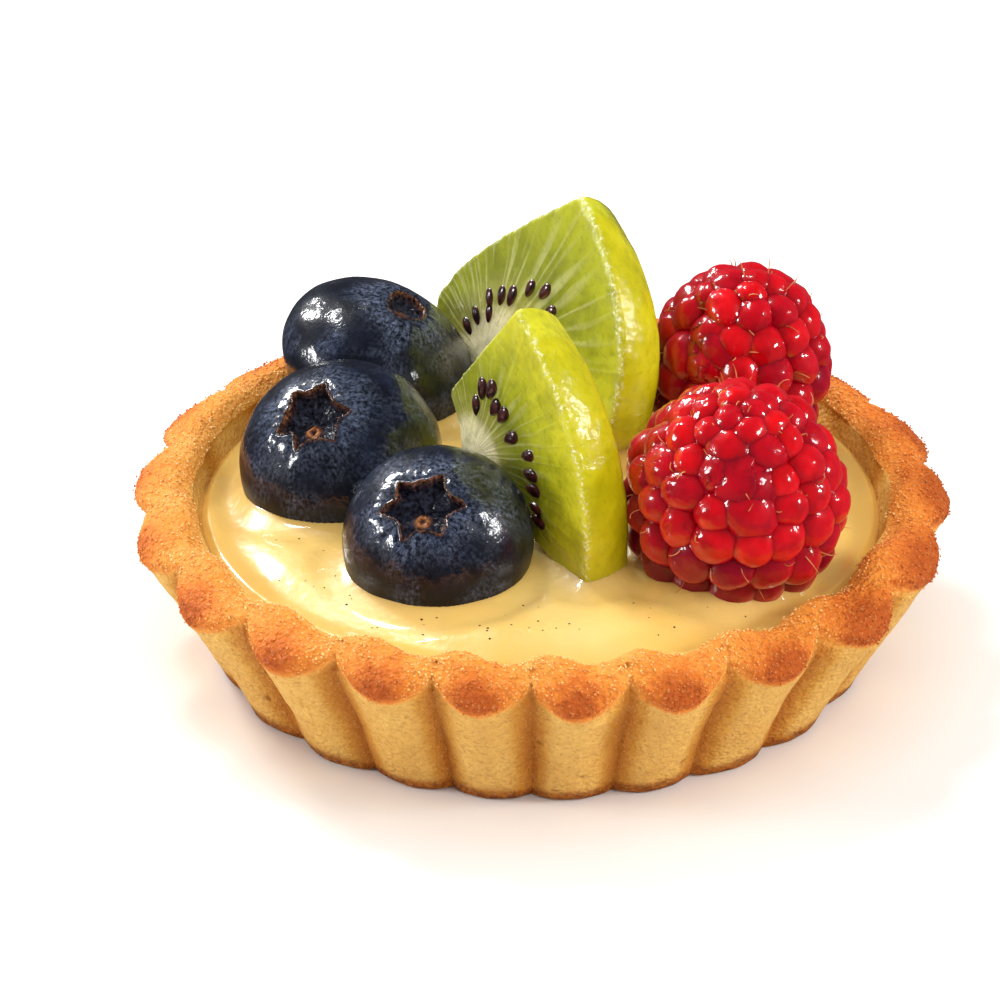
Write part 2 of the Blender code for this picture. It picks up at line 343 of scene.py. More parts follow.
class Tree:
    """Adds nodes to a material or a group, and joins each to what it is given."""

    def __init__(self, tree):
        self.tree = tree

    def add(self, kind, settings=None, **inputs):
        made = self.tree.nodes.new("ShaderNode" + kind)
        for name, value in (settings or {}).items():
            setattr(made, name, value)
        for name, value in inputs.items():
            self.feed(made.inputs[int(name[1:]) if name[0] == "_" else name], value)
        return made

    def feed(self, socket, value):
        if isinstance(value, bpy.types.NodeSocket):
            self.tree.links.new(value, socket)
        else:
            socket.default_value = value

    def noise(self, where, scale, detail=3.0, rough=0.5):
        return self.add("TexNoise", Vector=where, Scale=scale, Detail=detail, Roughness=rough).outputs["Fac"]

    def ramp(self, value, *stops):
        """Reads value through (position, shade) stops: a shade is one number, or three for a colour."""
        made = self.add("ValToRGB", Fac=value)
        steps = made.color_ramp.elements
        while len(steps) < len(stops):
            steps.new(0.5)
        for step, (position, shade) in zip(steps, stops):
            step.position = position
            step.color = colour(*shade) if isinstance(shade, tuple) else (shade, shade, shade, 1.0)
        return made.outputs["Color"]

    def mix(self, share, first, second):
        made = self.add("Mix", {"data_type": "RGBA"})
        self.feed(made.inputs["Factor"], share)
        self.feed(made.inputs["A"], first)
        self.feed(made.inputs["B"], second)
        return made.outputs["Result"]

    def math(self, kind, first, second=0.0):
        return self.add("Math", {"operation": kind}, _0=first, _1=second).outputs[0]

    def times(self, first, second):
        return self.math("MULTIPLY", first, second)

    def plus(self, first, second):
        return self.math("ADD", first, second)

    def subtract(self, first, second):
        return self.math("SUBTRACT", first, second)

    def mask(self, name):
        return self.add("Attribute", {"attribute_name": name}).outputs["Fac"]

    def spot(self, name):
        return self.add("Attribute", {"attribute_name": name}).outputs["Vector"]

    def here(self):
        return self.add("TexCoord").outputs["Object"]

    def bump(self, height, strength, distance):
        return self.add("Bump", Strength=strength, Distance=distance, Height=height).outputs["Normal"]

    def dress(self, **finish):
        """Gives the material's shader its finish: sockets by name, with _ for a space."""
        for name, value in finish.items():
            self.feed(self.tree.nodes["Principled BSDF"].inputs[name.replace("_", " ")], value)


def new_group(name, inputs, outputs):
    """A node group of numbers, from its inputs with their values and the names of its outputs."""
    group = bpy.data.node_groups.new(name, "ShaderNodeTree")
    for label, value in inputs.items():
        made = group.interface.new_socket(label, in_out="INPUT", socket_type="NodeSocketFloat")
        made.default_value = value
    for label in outputs:
        group.interface.new_socket(label, in_out="OUTPUT", socket_type="NodeSocketFloat")
    given, out = group.nodes.new("NodeGroupInput").outputs, group.nodes.new("NodeGroupOutput").inputs
    return group, Tree(group), given, out


def speckle_group():
    """Fine grain: a mask of light specks, one of dark specks, and a height for their relief."""
    group, tree, given, out = new_group("fine grain", {"Scale": 2500.0}, ("Light", "Dark", "Height"))
    where = tree.here()
    cells = tree.add("TexVoronoi", Vector=where, Scale=given["Scale"]).outputs["Distance"]
    soft = tree.noise(where, given["Scale"], 2.0)
    tree.feed(out["Light"], tree.ramp(cells, (0.05, 1.0), (0.28, 0.0)))
    tree.feed(out["Dark"], tree.ramp(soft, (0.30, 1.0), (0.46, 0.0)))
    tree.feed(out["Height"], tree.subtract(soft, cells))
    return group


def film_group():
    """An uneven film of glaze: a mask that is 1 where it lies thick."""
    group, tree, given, out = new_group("glaze film", {"Scale": 300.0, "Cover": 0.6}, ("Film",))
    patches = tree.noise(tree.here(), tree.times(given["Scale"], FILM_PATCH), 2.0, 0.6)
    spread = tree.plus(tree.subtract(patches, 0.75), given["Cover"])
    tree.feed(out["Film"], tree.ramp(spread, (0.3, 0.0), (0.55, 1.0)))
    return group


SPECKLE = speckle_group()
FILM = film_group()


def new_material(name):
    made = bpy.data.materials.new(name)
    made.use_nodes = True
    return made, Tree(made.node_tree)


def use_group(tree, group, **inputs):
    return tree.add("Group", {"node_tree": group}, **inputs).outputs


def glaze(tree, where, scale, cover):
    """The film's mask, and the height of its ripples."""
    return use_group(tree, FILM, Scale=scale, Cover=cover)["Film"], tree.noise(where, scale, 2.0)


def crust_material():
    made, tree = new_material("baked shortcrust")
    where = tree.here()
    grain = use_group(tree, SPECKLE, Scale=2300.0)
    brown, crease_shade, pits, cap = (tree.mask(name) for name in ("browning_and_shade", "crease_shade", "pits", "cap"))
    blotch = tree.noise(where, 130.0, 3.0, 0.6)
    fine = tree.noise(where, 1300.0, 3.0, 0.7)
    dough = tree.ramp(blotch, (0.3, (211, 148, 50)), (0.5, (226, 168, 66)), (0.68, (238, 188, 88)))
    dough = tree.mix(tree.ramp(fine, (0.38, 0.55), (0.56, 0.0)), dough, colour(204, 136, 46))
    # Painted light and shade: the flute crowns are painted lighter and the creases darker.
    dough = tree.mix(tree.ramp(crease_shade, (0.0, 0.30), (0.4, 0.0)), dough, colour(246, 204, 128))
    dough = tree.mix(tree.times(crease_shade, 0.9), dough, colour(184, 106, 28))
    rough_brown = tree.plus(brown, tree.times(tree.subtract(fine, 0.5), 0.55))
    baked = tree.ramp(
        rough_brown, (0.08, (242, 172, 82)), (0.30, (238, 150, 58)), (0.62, (220, 118, 38)),
        (1.0, (184, 84, 22)),
    )
    toasted = tree.ramp(tree.plus(brown, tree.times(cap, 0.35)), (0.05, 0.0), (0.35, 1.0))
    skin = tree.mix(toasted, dough, baked)
    scorched = tree.ramp(fine, (0.4, (136, 62, 4)), (0.6, (188, 102, 14)))
    skin = tree.mix(tree.mask("base"), skin, scorched)
    skin = tree.mix(tree.times(grain["Light"], 0.30), skin, colour(255, 222, 150))
    skin = tree.mix(tree.times(grain["Dark"], 0.32), skin, colour(164, 90, 24))
    # Painted shade: the pits are painted dark.
    skin = tree.mix(pits, skin, colour(132, 66, 16))
    relief = tree.plus(tree.times(grain["Height"], 0.5), fine)
    relief = tree.times(relief, tree.plus(tree.times(cap, 0.4), 1.25))
    tree.dress(
        Base_Color=skin, Roughness=0.6, Specular_IOR_Level=0.25, Normal=tree.bump(relief, 0.9, 0.28 * MM),
    )
    return made


def sugar_material():
    made, tree = new_material("toasted sugar")
    where = tree.here()
    brown, shade = tree.mask("browning_and_shade"), tree.mask("shade")
    toasted = tree.plus(brown, tree.times(tree.subtract(shade, 0.5), 0.5))
    tint = tree.ramp(
        toasted, (0.0, (255, 216, 142)), (0.3, (246, 180, 96)), (0.65, (226, 130, 56)),
        (1.0, (178, 82, 26)),
    )
    tree.dress(
        Base_Color=tint, Roughness=tree.ramp(tree.noise(where, 900.0), (0.4, 0.18), (0.6, 0.45)),
        Normal=tree.bump(tree.noise(where, 6000.0), 0.5, 0.03 * MM),
    )
    return made


def custard_material():
    made, tree = new_material("set custard")
    where = tree.here()
    film, ripples = glaze(tree, where, 420.0, 0.80)
    streaks = tree.noise(where, 90.0, 2.0, 0.55)
    cream = tree.ramp(streaks, (0.3, (232, 190, 98)), (0.52, (238, 199, 114)), (0.72, (243, 209, 132)))
    # Painted shade: darker orange where the custard slopes down to the crust.
    cream = tree.mix(tree.times(tree.mask("edge"), 0.5), cream, colour(236, 182, 76))
    # Painted shade: a darker ring where the custard meets the fruit.
    cream = tree.mix(tree.times(tree.mask("contact"), 0.45), cream, colour(220, 172, 84))
    relief = tree.plus(ripples, tree.times(tree.noise(where, 1400.0, 2.0, 0.5), 0.34))
    tree.dress(
        Base_Color=cream, Roughness=0.32, Subsurface_Weight=0.35, Subsurface_Radius=(1.0, 0.6, 0.2),
        Subsurface_Scale=1.6 * MM, Coat_Weight=film, Coat_Roughness=0.04,
        Normal=tree.bump(relief, 0.4, 0.30 * MM),
    )
    return made


def speck_material():
    made, tree = new_material("vanilla seed")
    tint = tree.ramp(tree.noise(tree.here(), 900.0), (0.4, (28, 16, 10)), (0.6, (70, 44, 24)))
    tree.dress(Base_Color=tint, Roughness=0.5)
    return made


def blueberry_material():
    made, tree = new_material("blueberry skin")
    where = tree.here()
    film, ripples = glaze(tree, where, 330.0, 0.84)
    bloom_mask, cup, lip, scar = (tree.mask(name) for name in ("bloom", "cup", "lip", "scar"))
    cloud = tree.noise(where, 260.0, 3.0, 0.65)
    dust = tree.noise(where, 2600.0, 3.0, 0.7)
    streak = tree.noise(tree.spot("fruit"), 30.0, 2.0, 0.7)
    skin = tree.ramp(cloud, (0.3, (5, 7, 14)), (0.55, (9, 15, 30)), (0.75, (20, 28, 50)))
    worn = tree.times(tree.ramp(dust, (0.40, 0.0), (0.62, 1.0)), tree.ramp(streak, (0.35, 0.25), (0.65, 1.0)))
    bloomed = tree.times(worn, bloom_mask)
    skin = tree.mix(bloomed, skin, colour(126, 140, 172))
    # The crown's hollow: partly its own dull brown and blue-grey, partly painted shade.
    shaded_hollow = tree.ramp(dust, (0.38, (14, 9, 9)), (0.66, (52, 56, 74)))
    skin = tree.mix(tree.times(cup, 0.9), skin, shaded_hollow)
    skin = tree.mix(lip, skin, tree.ramp(dust, (0.42, (20, 9, 7)), (0.66, (146, 88, 50))))
    skin = tree.mix(scar, skin, tree.ramp(dust, (0.35, (120, 62, 34)), (0.62, (208, 140, 86))))
    broken = tree.times(film, tree.ramp(dust, (0.36, 0.15), (0.46, 1.0)))
    broken = tree.times(broken, tree.ramp(tree.mask("glazed"), (0.0, 0.05), (1.0, 1.0)))
    broken = tree.times(broken, tree.ramp(cup, (0.2, 1.0), (0.8, 0.25)))
    relief = tree.plus(tree.times(dust, 0.30), ripples)
    flakes = tree.times(tree.noise(where, 1000.0, 2.0, 0.65), 0.34)
    coat_relief = tree.plus(tree.plus(ripples, flakes), tree.times(dust, 0.10))
    tree.dress(
        Base_Color=skin, Roughness=tree.ramp(bloomed, (0.0, 0.34), (0.5, 0.6)), Specular_IOR_Level=0.25,
        Coat_Weight=broken, Coat_Roughness=0.03, Coat_IOR=1.65,
        Normal=tree.bump(relief, 0.5, 0.16 * MM), Coat_Normal=tree.bump(coat_relief, 0.6, 0.36 * MM),
    )
    return made


def kiwi_material():
    made, tree = new_material("kiwi flesh")
    where, fruit = tree.here(), tree.spot("fruit")
    film, ripples = glaze(tree, where, 500.0, 0.80)
    share, rind, ridge = tree.mask("share"), tree.mask("rind"), tree.mask("ridge")
    axes = tree.add("SeparateXYZ", Vector=fruit).outputs
    turn = tree.math("ARCTAN2", axes["Y"], axes["X"])
    wander = tree.noise(fruit, 5.0, 2.0, 0.6)
    fibres = tree.math("SINE", tree.plus(tree.times(turn, KIWI_FIBRES), tree.times(wander, 20.0)))
    strength = tree.noise(fruit, 14.0, 1.0, 0.6)
    cells = tree.noise(where, 1400.0, 3.0, 0.6)
    mottle = tree.noise(where, 300.0, 2.0, 0.6)
    flesh = tree.ramp(
        share, (0.0, (250, 240, 204)), (0.19, (242, 230, 180)), (0.25, (170, 166, 78)),
        (0.40, (144, 150, 32)), (0.60, (178, 182, 30)), (0.82, (206, 204, 36)),
        (1.0, (216, 211, 46)),
    )
    flesh = tree.mix(tree.ramp(mottle, (0.35, 0.3), (0.55, 0.0)), flesh, colour(96, 104, 8))
    reach = tree.ramp(share, (0.14, 1.0), (0.45, 0.75), (0.72, 0.15), (0.9, 0.0))
    broken = tree.ramp(strength, (0.38, 0.15), (0.6, 1.0))
    line = tree.times(tree.ramp(fibres, (0.05, 0.0), (1.0, 1.0)), broken)
    flesh = tree.mix(tree.times(tree.times(line, reach), 0.75), flesh, colour(212, 212, 140))
    flesh = tree.mix(tree.ramp(cells, (0.3, 0.3), (0.5, 0.0)), flesh, colour(104, 114, 10))
    skin = tree.ramp(
        tree.noise(where, 220.0, 4.0), (0.3, (176, 170, 6)), (0.5, (197, 188, 14)),
        (0.7, (208, 199, 34)),
    )
    skin = tree.mix(tree.ramp(cells, (0.35, 0.35), (0.5, 0.0)), skin, colour(156, 156, 6))
    flesh = tree.mix(rind, flesh, skin)
    beads = tree.noise(where, 2600.0, 3.0, 0.65)
    # Painted highlight: pale broken flecks along the ridge, in place of glints on the wet glaze.
    painted_glints = tree.times(ridge, tree.ramp(beads, (0.52, 0.04), (0.61, 0.90)))
    relief = tree.plus(tree.times(cells, 0.7), tree.times(line, 0.35))
    wet = tree.plus(ripples, tree.times(tree.noise(where, 1100.0, 3.0, 0.65), 0.5))
    wet = tree.plus(wet, tree.times(beads, tree.plus(tree.times(ridge, 0.45), 0.22)))
    tree.dress(
        Base_Color=tree.mix(painted_glints, flesh, colour(250, 248, 206)), Roughness=0.4, Specular_IOR_Level=0.15,
        Subsurface_Weight=0.2, Subsurface_Radius=(0.8, 1.0, 0.12), Subsurface_Scale=1.0 * MM,
        Coat_Weight=film, Coat_Roughness=0.04, Coat_IOR=1.6,
        Normal=tree.bump(relief, 0.5, 0.15 * MM), Coat_Normal=tree.bump(wet, 0.7, 0.32 * MM),
    )
    return made


def seed_material():
    made, tree = new_material("kiwi seed")
    tint = tree.ramp(tree.noise(tree.here(), 1500.0), (0.4, (34, 12, 14)), (0.65, (84, 34, 30)))
    tree.dress(Base_Color=tint, Roughness=0.3, Coat_Weight=1.0, Coat_Roughness=0.05)
    return made


def raspberry_material():
    made, tree = new_material("raspberry flesh")
    where = tree.here()
    film, ripples = glaze(tree, where, 600.0, 0.86)
    dark_tone = tree.mask("dark_tone")
    cloud = tree.noise(where, 420.0, 2.0, 0.6)
    flesh = tree.ramp(cloud, (0.3, (176, 0, 6)), (0.55, (214, 0, 10)), (0.75, (230, 16, 26)))
    # Darker, more purple red: partly at random, more towards the bottom of the berry.
    flesh = tree.mix(tree.times(dark_tone, 0.80), flesh, colour(104, 0, 34))
    # Painted shade: darker where the drupelets meet.
    flesh = tree.mix(tree.times(tree.mask("seam"), 0.30), flesh, colour(96, 0, 8))
    # Painted light: each drupelet is lighter and pinker towards its outline, as light through its thin edges
    # would look.
    facing = tree.add("LayerWeight", Blend=0.45).outputs["Facing"]
    flesh = tree.mix(tree.ramp(facing, (0.30, 0.0), (0.85, 0.4)), flesh, colour(230, 22, 40))
    thinning = tree.ramp(dark_tone, (0.2, 1.0), (1.0, 0.45))
    relief = tree.plus(ripples, tree.times(tree.noise(where, 1500.0, 2.0, 0.6), 0.35))
    tree.dress(
        Base_Color=flesh, Roughness=0.35, Specular_IOR_Level=0.15,
        Subsurface_Weight=0.5, Subsurface_Radius=(1.0, 0.08, 0.06), Subsurface_Scale=1.8 * MM,
        Coat_Weight=tree.times(film, thinning), Coat_Roughness=0.03, Coat_IOR=1.6,
        Normal=tree.bump(relief, 0.5, 0.18 * MM), Coat_Normal=tree.bump(relief, 0.6, 0.28 * MM),
    )
    return made


def hair_material():
    made, tree = new_material("raspberry hair")
    tint = tree.ramp(tree.noise(tree.here(), 500.0), (0.4, (176, 92, 50)), (0.6, (224, 156, 98)))
    tree.dress(Base_Color=tint, Roughness=0.45)
    return made


# ---------------------------------------------------------------- crust

def flute_angle(turn):
    return turn - SIDE_STRETCH * np.sin(2 * turn) - FRONT_SQUEEZE * np.sin(turn)


def crust_controls(wave, tip, rim, ridge):
    """The case's section in millimetres, from the middle of its underside out, up, in and down again."""
    puff, drop = wave**0.8, 2.2 * wave**1.3
    floor = FLOOR_RADIUS + 0.4 - FLOOR_SCALLOP * (1 - puff)
    lip = CREASE_LIP + (tip - CREASE_LIP) * puff
    none = np.zeros_like(puff)
    return [
        (none, none),
        (none + 24.0, none),
        (floor - 1.6, none),
        (floor - 0.45, none + 0.2),
        (floor, none + 0.95),
        (floor + (lip - floor) * 0.40 + 0.30 * puff, none + 7.0),
        (lip - 1.25 * puff - 0.2, rim - 3.6 - drop * 0.7),
        (lip - 0.62 * puff - 0.1, rim - 1.9 - drop),
        (lip - 0.06, rim - 1.1 - drop * 0.95),
        (lip - 0.10, rim - 0.6 - drop * 0.75),
        (lip - 1.3, rim - 0.1 - drop * 0.36),
        (none + 35.2, rim + 0.10 + ridge * 0.6),
        (none + 34.0 - ridge * 0.4, rim - 0.15 + ridge),
        (none + 33.1 - ridge * 0.4, rim - 0.95 + ridge * 0.5),
        (none + 32.7, rim - 2.2),
        (none + 28.5, none + 6.0),
        (none + 26.5, none + 3.6),
        (none, none + 3.5),
    ]


def make_crust(look):
    obj, across, along = sheet_grid("crust_baked", FLUTES * FLUTE_COLUMNS, CRUST_ROWS)
    jitter = random.Random(7)
    flutes = [
        (jitter.uniform(-FLUTE_JITTER, FLUTE_JITTER), jitter.uniform(-TIP_JITTER, TIP_JITTER),
         jitter.uniform(-RIM_JITTER, RIM_JITTER))
        for _ in range(FLUTES)
    ]
    shift, tip, rim = np.array(flutes).T
    bake_rng = np.random.default_rng(6)
    # Each flute's bake: random, times a painted shade that darkens the flutes on the right.
    baked = bake_rng.uniform(0.75, 1.1, FLUTES) * (1 + 0.3 * np.sin(np.arange(FLUTES) * math.tau / FLUTES))
    place = across * FLUTES
    flute = np.floor(place + 1e-6).astype(int) % FLUTES
    phase = np.clip(place - np.floor(place + 1e-6), 0, 1)
    wave = np.sin(np.pi * phase)
    turn = FLUTE_START + math.tau * across
    angle = flute_angle(turn) + shift[flute] * wave**0.75
    ridge = 0.50 * np.cos(math.tau * (phase - 0.22)) + 0.22 * np.sin(3 * angle + 1.0)
    top = RIM_HEIGHT + rim[flute] * wave**2
    rows = crust_controls(wave, TIP_RADIUS + tip[flute], top, ridge)
    points, radius, height, spots = turned_about(rows, CRUST_STOPS, angle, along)
    # Rows 7 to 13 are the folded top, and rows 3 to 14 all that isn't hidden under the tart or in it
    cap = ease(6.8, 8.4, spots) * (1 - ease(12.2, 13.6, spots))
    outside = ease(3.0, 4.5, spots) * (1 - ease(13.5, 14.5, spots))
    slope = np.stack([np.sin(angle), -np.cos(angle), 0.7 * cap], axis=-1)
    soft = lumps(points, 5.0) * 0.20 + lumps(points, 1.7, 9.0) * 0.10
    grain = lumps(points, 0.6, 3.0) * (0.05 + 0.06 * cap) + lumps(points, 0.36, 5.0) * (0.02 + 0.05 * cap)
    pits = np.zeros(len(points))
    pit_rng = np.random.default_rng(5)
    for _ in range(PITS):
        a, level, size = pit_rng.uniform(0, math.tau), pit_rng.uniform(1.2, 12.0), pit_rng.uniform(0.2, 0.45)
        spot = np.array([math.sin(a), -math.cos(a)]) * (FLOOR_RADIUS + level * 0.36)
        far = np.linalg.norm(points[:, :2] - spot, axis=1)
        far = np.hypot(np.maximum(far - 0.15, 0) * 0.8, (points[:, 2] - level) * 1.1)
        pits = np.maximum(pits, 1 - ease(0.3 * size, size, far))
    pits *= (1 - cap) * outside
    push = (soft + grain - 0.22 * pits) * outside
    points += slope * push[:, None]
    ragged = 0.16 * lumps(points, 1.6, 40.0) * (1 - ease(0.2, 1.4, height)) * ease(2.0, 3.0, spots)
    points[:, :2] *= (1 + ragged / 33)[:, None]
    points[:, 2] = np.maximum(points[:, 2], 0.0)
    aside = (phase - 0.48) * math.tau * 37.5 / FLUTES
    tip_height = top - 2.1
    from_tip = np.sqrt((aside * 0.8) ** 2 + ((TIP_RADIUS - radius) * 0.8) ** 2 + (height - tip_height) ** 2)
    from_tip *= 1 + 0.25 * lumps(points, 2.0, 20.0)
    from_tip += 0.5 * lumps(points, 0.9, 25.0) + 0.5 * lumps(points, 0.4, 27.0)
    lower = np.exp(-((np.maximum(tip_height - 0.3 - height, 0) / 1.0) ** 2))
    toast = (0.58 * np.exp(-((from_tip / 1.8) ** 2)) + 0.54 * np.exp(-((from_tip / 3.9) ** 2))) * baked[flute]
    browning_and_shade = toast * ease(5.5, 7.5, spots) * (1 - ease(11.0, 12.5, spots)) * lower
    # The whole rim top is a little brown, plus painted shade that makes it browner towards the right and
    # back, the side away from the left lamps.
    browning_and_shade += (0.17 + 0.26 * np.maximum(0, np.cos(angle - 2.0))) * cap
    base = (1 - ease(0.7, 2.0 + 0.8 * lumps(points, 2.4, 30.0), height)) * 0.95
    set_points(obj, points * MM)
    set_mask(obj, "browning_and_shade", np.clip(browning_and_shade, 0, 1))
    set_mask(obj, "base", np.clip(base, 0, 1) * ease(2.0, 3.0, spots) * (1 - ease(13.0, 14.0, spots)))
    # How far into a flute's crease each point lies, which drives the painted crease shade and the painted
    # light on the crowns.
    set_mask(obj, "crease_shade", (1 - ease(0.0, 0.8, wave)) * (1 - cap * 0.75) * outside)
    # Where the pits lie, for the painted shade in them.
    set_mask(obj, "pits", pits * 0.8)
    set_mask(obj, "cap", cap * outside)
    close_up(obj)
    return finish_piece(obj, look, "crust", "crust")


def make_sugar(crust, look):
    """Toasted grains that stand out of the rim."""
    points, normals = points_of(crust) / MM, normals_of(crust)
    cap, browning_and_shade = mask_of(crust, "cap"), mask_of(crust, "browning_and_shade")
    pick_rng = np.random.default_rng(8)
    chosen = pick_rng.choice(np.flatnonzero(cap > 0.35), RIM_GRAINS, replace=False)
    pattern = new_piece("rim_grains", bpy.ops.mesh.primitive_ico_sphere_add, subdivisions=1, radius=1)
    per_grain = len(pattern.data.vertices)
    placements = []
    for i in chosen:
        size = pick_rng.uniform(0.06, 0.13)
        turned = Vector(normals[i]).to_track_quat("Z", "Y").to_matrix()
        spun = np.array(turned @ Matrix.Rotation(pick_rng.uniform(0, math.tau), 3, "Z"))
        m = np.eye(4)
        m[:3, :3] = spun * (size * pick_rng.uniform(0.8, 1.4), size, size * pick_rng.uniform(0.6, 1.0))
        m[:3, 3] = points[i] + normals[i] * size * 0.2 + pick_rng.normal(0, 0.09, 3)
        placements.append(m)
    obj = joined_copies("rim_grains", pattern, placements)
    set_mask(obj, "browning_and_shade", np.repeat(browning_and_shade[chosen], per_grain))
    set_mask(obj, "shade", np.repeat(pick_rng.uniform(0, 1, len(chosen)), per_grain))
    return finish_piece(obj, look, "crust")


# ---------------------------------------------------------------- custard

def make_custard(look, fruit_trees):
    obj, across, along = sheet_grid("custard_cream", CUSTARD_COLUMNS, CUSTARD_ROWS)
    angle = math.tau * across
    none = np.zeros_like(angle)
    edge = none + CUSTARD_EDGE_RADIUS
    swell = 0.22 * np.sin(angle * 2 + 0.6) + 0.15 * np.sin(angle * 5)
    rows = [
        (none, none + CUSTARD_TOP - 0.1),
        (none + 16.0, none + CUSTARD_TOP - 0.15),
        (none + 24.5, none + CUSTARD_TOP - 0.55),
        (none + 27.4 + 0.7 * swell, none + CUSTARD_TOP - 0.95),
        (none + 29.9 + 0.4 * swell, none + CUSTARD_TOP - 1.95),
        (edge - 0.6, none + CUSTARD_TOP - 2.2),
        (edge - 0.4, none + 12.0),
        (none + 27.0, none + CUSTARD_FLOOR + 0.05),
        (none, none + CUSTARD_FLOOR),
    ]
    points, _, height, spots = turned_about(rows, CUSTARD_STOPS, angle, along)
    top = 1 - ease(4.4, 5.0, spots)
    height += top * (0.14 * lumps(points, 9.0, 4.0) + 0.06 * lumps(points, 3.6, 14.0))
    points[:, 2] = height
    near = np.full(len(points), OUT_OF_REACH)
    for i in np.flatnonzero(top > 0):
        spot = Vector(points[i] * MM)
        for tree in fruit_trees:
            hit, normal, _, distance = tree.find_nearest(spot, CONTACT_REACH * MM)
            if hit is not None:
                inside = (spot - hit).dot(normal) < 0
                near[i] = min(near[i], 0.0 if inside else distance / MM)
    points[:, 2] += top * (0.42 * np.exp(-near / 0.5) - 0.25 * np.exp(-(((near - 2.2) / 1.2) ** 2)))
    set_points(obj, points * MM)
    # How near the fruit each point lies, for the painted contact shade.
    set_mask(obj, "contact", np.exp(-near / 0.45) * top)
    # Where the custard slopes down to the crust, for the painted shade there.
    set_mask(obj, "edge", ease(3.0, 4.8, spots))
    close_up(obj)
    return finish_piece(obj, look, "custard", "custard")


def make_specks(custard, look):
    """Vanilla seeds scattered through the custard's surface, most of them towards the front."""
    points, normals = points_of(custard) / MM, normals_of(custard)
    level, clear = normals[:, 2] > 0.75, mask_of(custard, "contact") < 0.12
    open_top = np.flatnonzero(level & clear & (points[:, 2] > 14.5))
    speck_rng = np.random.default_rng(3)
    weight = np.where(points[open_top, 1] < -8, 1.0, 0.25)
    chosen = speck_rng.choice(open_top, SPECKS, replace=False, p=weight / weight.sum())
    pattern = new_piece("vanilla_specks", bpy.ops.mesh.primitive_ico_sphere_add, subdivisions=2, radius=1)
    placements = []
    for i in chosen:
        size = speck_rng.uniform(0.05, 0.13)
        m = np.eye(4)
        turned = np.array(Vector(normals[i]).to_track_quat("Z", "Y").to_matrix())
        m[:3, :3] = turned * (size, size * 0.85, size * 0.5)
        m[:3, 3] = points[i]
        placements.append(m)
    return finish_piece(joined_copies("vanilla_specks", pattern, placements), look, "custard")


# ---------------------------------------------------------------- blueberries

def star_edge(around, half_width, points):
    """How far the crown's edge lies from its middle, with sharp points at the angles given."""
    if not points:
        return half_width * (1 + 0.08 * np.sin(3 * around) + 0.12 * np.cos(2 * around))
    edge = np.full_like(around, 0.70) + 0.04 * np.sin(2 * around + points[0] * 5)
    for k, at in enumerate(points):
        off = np.abs((around - at + np.pi) % math.tau - np.pi)
        edge += (0.34 - 0.05 * (k % 3)) * np.maximum(0, 1 - off / (0.34 + 0.05 * (k % 2))) ** 1.2
    return half_width * edge


def make_blueberry(name, centre, width, height, axis, half_star, points_at, look):
    obj, unit, polar, around = rolled_ball(name + "_skin", BERRY_COLUMNS, BERRY_ROWS, BERRY_CROWDING)
    reach = width * np.sin(polar)
    points = unit * (width, width, height)
    seed = width * 7
    points *= (1 + 0.014 * lumps(points, 6.0, seed) + 0.006 * lumps(points, 2.2, 3.0))[:, None]
    upper = polar < np.pi / 2
    ragged = 0.22 * lumps(points, 0.8, 2.0) + 0.10 * lumps(points, 0.33, 6.0)
    inward = star_edge(around, half_star, points_at) - np.where(upper, reach, 99.0) + ragged
    cup = ease(-0.05, 0.34, inward)
    lip = np.exp(-((inward / 0.15) ** 2)) * upper
    swell = np.exp(-(((inward + 1.2) / 1.2) ** 2)) * upper
    pucker = swell * lumps(np.column_stack([np.cos(around) * 4, np.sin(around) * 4, reach * 0.4]), 1.0, 4.0)
    depth = 2.2 if points_at else 1.3
    bowl = depth * cup * (0.60 + 0.40 * np.clip(inward / (0.7 * half_star), 0, 1))
    points[:, 2] += 0.25 * swell + 0.14 * pucker + (0.30 if points_at else 0.10) * lip - bowl
    points[:, 2] += cup * (0.20 * lumps(points, 0.9, 11.0) + 0.08 * lumps(points, 0.35, 12.0))
    from_scar = np.linalg.norm(points[:, :2] - (0.0, -0.9 if points_at else 0.0), axis=1)
    scar = np.where(upper, np.exp(-(((from_scar - 0.48) / 0.24) ** 2)), 0.0) * (1.0 if points_at else 0.3)
    points[:, 2] += 0.18 * scar
    bloom = np.clip(0.18 + 1.1 * lumps(points, 3.4, 5.0 + seed) + 0.4 * lumps(points, 1.2, 8.0), 0, 1) * 0.42
    near_crown = np.exp(-(((inward + 1.4) / 1.5) ** 2)) * upper
    placed = carried(points, frame_to(centre, axis))
    set_points(obj, placed * MM)
    set_place(obj, "fruit", np.column_stack([np.cos(around), np.sin(around), polar * 0.12]))
    set_mask(obj, "bloom", np.clip(bloom + 0.34 * near_crown, 0, 1))
    set_mask(obj, "cup", cup)
    set_mask(obj, "lip", np.clip(lip * 1.1, 0, 1))
    set_mask(obj, "scar", scar)
    set_mask(obj, "glazed", ease(-1.2, 2.2, placed[:, 2] - centre[2]))
    close_up(obj)
    return finish_piece(obj, look, "blueberry", name)


# ---------------------------------------------------------------- kiwi slices

def slice_matrix(centre, turn, lean):
    """Local X runs along the slice, Y up it, and Z out of the cut face that shows."""
    turn, lean = math.radians(turn), math.radians(lean)
    face = Vector((-math.cos(turn) * math.cos(lean), -math.sin(turn) * math.cos(lean), math.sin(lean)))
    along = Vector((0, 0, 1)).cross(face).normalized()
    up = face.cross(along)
    return Matrix.Translation(Vector(centre)) @ Matrix((along, up, face)).transposed().to_4x4()


